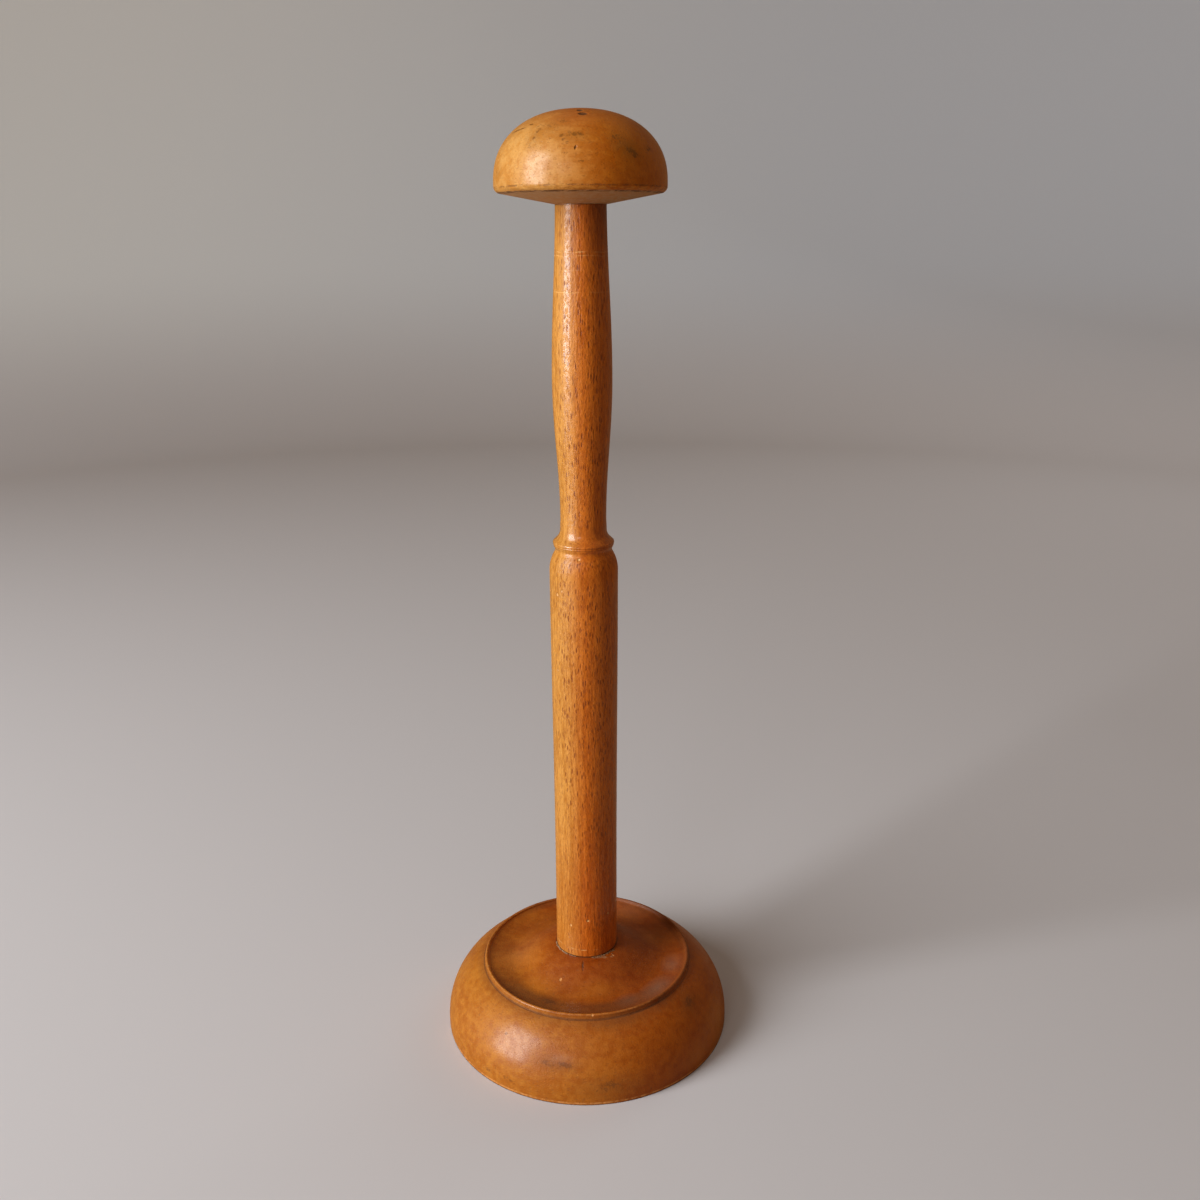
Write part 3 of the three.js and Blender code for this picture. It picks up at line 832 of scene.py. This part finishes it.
def makeGlue(look):
    chance = random.Random(look["seed"])
    bm = bmesh.new()
    for start, end, count, size, spread in look["runs"]:
        for i in range(count):
            turn = math.radians(start + (end - start) * (i + chance.random()) / count)
            reach = (postSizes["foot"] / 2 + look["away"] + abs(chance.gauss(0, spread))) * mm
            blob = size * chance.uniform(*look["sizeRange"]) * mm
            height = baseSizes["seatHeight"] * mm + blob * look["lift"]
            at = Matrix.Translation((reach * math.sin(turn), -reach * math.cos(turn), height))
            shape = at @ Matrix.Rotation(turn, 4, "Z") @ Matrix.Diagonal((*look["shape"], 1.0))
            bmesh.ops.create_icosphere(bm, subdivisions=2, radius=blob, matrix=shape)
    return finishPiece("driedGlue", bm)


def crustyGlue(look):
    material, tree, place = startMaterial("dried glue")
    x = coordinates(tree, place)["X"]
    dull = cloud(tree, place, **look["noise"])
    colour = layer(tree, ramp(tree, x, look["paleReach"]), look["pale"], look["brown"])
    colour = layer(tree, fade(tree, dull, 0.35, 0.65, 0.6, 0.0), colour, look["dust"])
    sockets = {"Base Color": colour, "Roughness": look["rough"], "IOR": varnishIor}
    shader = put(tree, "BsdfPrincipled", sockets)
    put(tree, "OutputMaterial", {"Surface": shader.outputs[0]})
    return material


def dress(piece, material, slot, *nodes):
    piece.data.materials.append(material)
    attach(piece, "root")
    if nodes:
        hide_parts(*nodes)


dress(makeBase(baseSizes), dirtyBase(baseLook), "base_wood", "base")
print("base turned")
dress(makePost(postSizes), beechPost(postLook), "post_wood", "post")
print("post turned")
dress(makeHead(headSizes), goldenHead(headLook), "head_wood", "head")
print("head turned")
dress(makeGlue(glueLook), crustyGlue(glueLook), None)
print("glue placed")


# Studio: a pale floor that curves up into a grey backdrop all round, painted lighter on the left towards the
# window light, a soft window light on the left with a smaller pane beside it, and a dim lamp on the far side
# that isn't seen in the varnish.

studio = {
    "floorRadius": 1.5, "sweep": 0.8, "wallHeight": 2.6, "steps": 96, "weld": 0.0001, "sharpAbove": 60,
    "floorColour": rgb(0.70, 0.69, 0.71), "shadedPaper": rgb(0.16, 0.16, 0.165),
    "bounceColour": rgb(0.38, 0.28, 0.18), "gleamColour": rgb(1.0, 0.92, 0.84),
    "wallLitLeft": rgb(0.94, 0.98, 1.0), "wallShadedRight": rgb(0.74, 0.80, 0.89),
    # heights over which the floor's colour turns into the wall's, and where along X the wall goes from
    # painted light on its left to painted shade on its right
    "floorReach": (0.0, 0.3), "wallReach": (-1.4, 0.8),
    # distances towards the window, and to both sides of that line
    "shadedAlong": (0.3, 1.35), "shadedAcross": (1.3, 0.3),
    "gleamAlong": (0.35, 1.0), "gleamAcross": (0.42, 0.32),
    "worldColour": rgb(1.0, 0.74, 0.52), "worldStrength": 0.17,
    "lampsAimAt": (0, 0, 0.2),
    "lamps": {
        "windowLight": {"facing": -61, "distance": 1.65, "height": 0.77, "size": (0.84, 1.44), "power": 40.5},
        "sidePane": {"facing": -21, "distance": 1.9, "height": 0.92, "size": (0.5, 0.5), "power": 2.3},
        "farFill": {
            "facing": 140, "distance": 1.6, "height": 0.95, "size": (1.0, 0.8), "power": 2.9,
            "mirrored": False,
        },
    },
}


def makeFloor(look):
    reach, sweep = look["floorRadius"], look["sweep"]
    line = [(0, 0), (reach / 2, 0), (reach, 0)]
    line += arc(reach, sweep, sweep, -90, 0, steps=24)[1:] + [(reach + sweep, look["wallHeight"])]
    bm = revolve([(r, 0, z) for r, z in line], look["steps"], look["weld"])
    bmesh.ops.reverse_faces(bm, faces=bm.faces)
    floor = finishPiece("studioFloor", bm, look["sharpAbove"])
    material, tree, place = startMaterial("plain studio paper")
    x, y, z = coordinates(tree, place)
    seen = put(tree, "LightPath")
    # painted light and shade on the backdrop: lighter on the left, towards the window light
    wall = layer(tree, fade(tree, x, *look["wallReach"]), look["wallLitLeft"], look["wallShadedRight"])
    along = distanceToWindow(tree, x, y)
    across = calc(tree, "SUBTRACT", times(tree, x, windowward[1]), times(tree, y, windowward[0]))
    across = calc(tree, "ABSOLUTE", across)
    # the paper is shown greyer close to the window light, which would burn it out
    shaded = times(tree, fade(tree, along, *look["shadedAlong"]), fade(tree, across, *look["shadedAcross"]))
    paper = layer(tree, shaded, look["floorColour"], look["shadedPaper"])
    paper = layer(tree, fade(tree, z, *look["floorReach"]), paper, wall)
    # painted light: to glossy rays the floor below the window is painted pale, a pool of window light that
    # the varnish mirrors as a gleam
    gleam = times(tree, fade(tree, along, *look["gleamAlong"]), fade(tree, across, *look["gleamAcross"]))
    gleam = times(tree, gleam, seen.outputs["Is Glossy Ray"])
    bounce = layer(tree, gleam, look["bounceColour"], look["gleamColour"])
    colour = layer(tree, seen.outputs["Is Camera Ray"], bounce, paper)
    shader = put(tree, "BsdfDiffuse", {"Color": colour})
    put(tree, "OutputMaterial", {"Surface": shader.outputs[0]})
    floor.data.materials.append(material)


def makeLamp(name, lamp, target):
    light = bpy.data.lights.new(name, "AREA")
    light.shape = "RECTANGLE"
    light.size, light.size_y = lamp["size"]
    light.energy = lamp["power"]
    place = bpy.data.objects.new(name, light)
    bpy.context.scene.collection.objects.link(place)
    turn = math.radians(lamp["facing"])
    at = Vector((lamp["distance"] * math.sin(turn), -lamp["distance"] * math.cos(turn), lamp["height"]))
    place.location = at
    place.rotation_euler = (Vector(target) - at).to_track_quat("-Z", "Y").to_euler()
    place.visible_camera = False
    place.visible_glossy = lamp.get("mirrored", True)


def makeWorld(look):
    world = bpy.data.worlds.new("studio air")
    bpy.context.scene.world = world
    world.use_nodes = True
    tree = world.node_tree
    tree.nodes.clear()
    air = put(tree, "Background", {"Color": look["worldColour"], "Strength": look["worldStrength"]})
    put(tree, "OutputWorld", {"Surface": air.outputs[0]})


makeFloor(studio)
for name, lamp in studio["lamps"].items():
    makeLamp(name, lamp, studio["lampsAimAt"])
makeWorld(studio)
print("studio lit")


# The camera of the photograph. Its lens and sensor are in millimetres.

camera = {
    "at": (0.0065, -0.4466, 0.3375), "near": 0.01, "lens": 34.5, "sensor": 36, "down": 17.573, "roll": -0.229,
}


def makeCamera(view):
    lens = bpy.data.cameras.new("photoCamera")
    lens.lens = view["lens"]
    lens.sensor_width = view["sensor"]
    lens.clip_start = view["near"]
    place = bpy.data.objects.new("photoCamera", lens)
    bpy.context.scene.collection.objects.link(place)
    tip = Matrix.Rotation(math.radians(90 - view["down"]), 4, "X")
    roll = Matrix.Rotation(math.radians(view["roll"]), 4, "Z")
    place.matrix_world = Matrix.Translation(view["at"]) @ tip @ roll
    bpy.context.scene.camera = place


makeCamera(camera)
bpy.context.scene.view_settings.view_transform = "Standard"
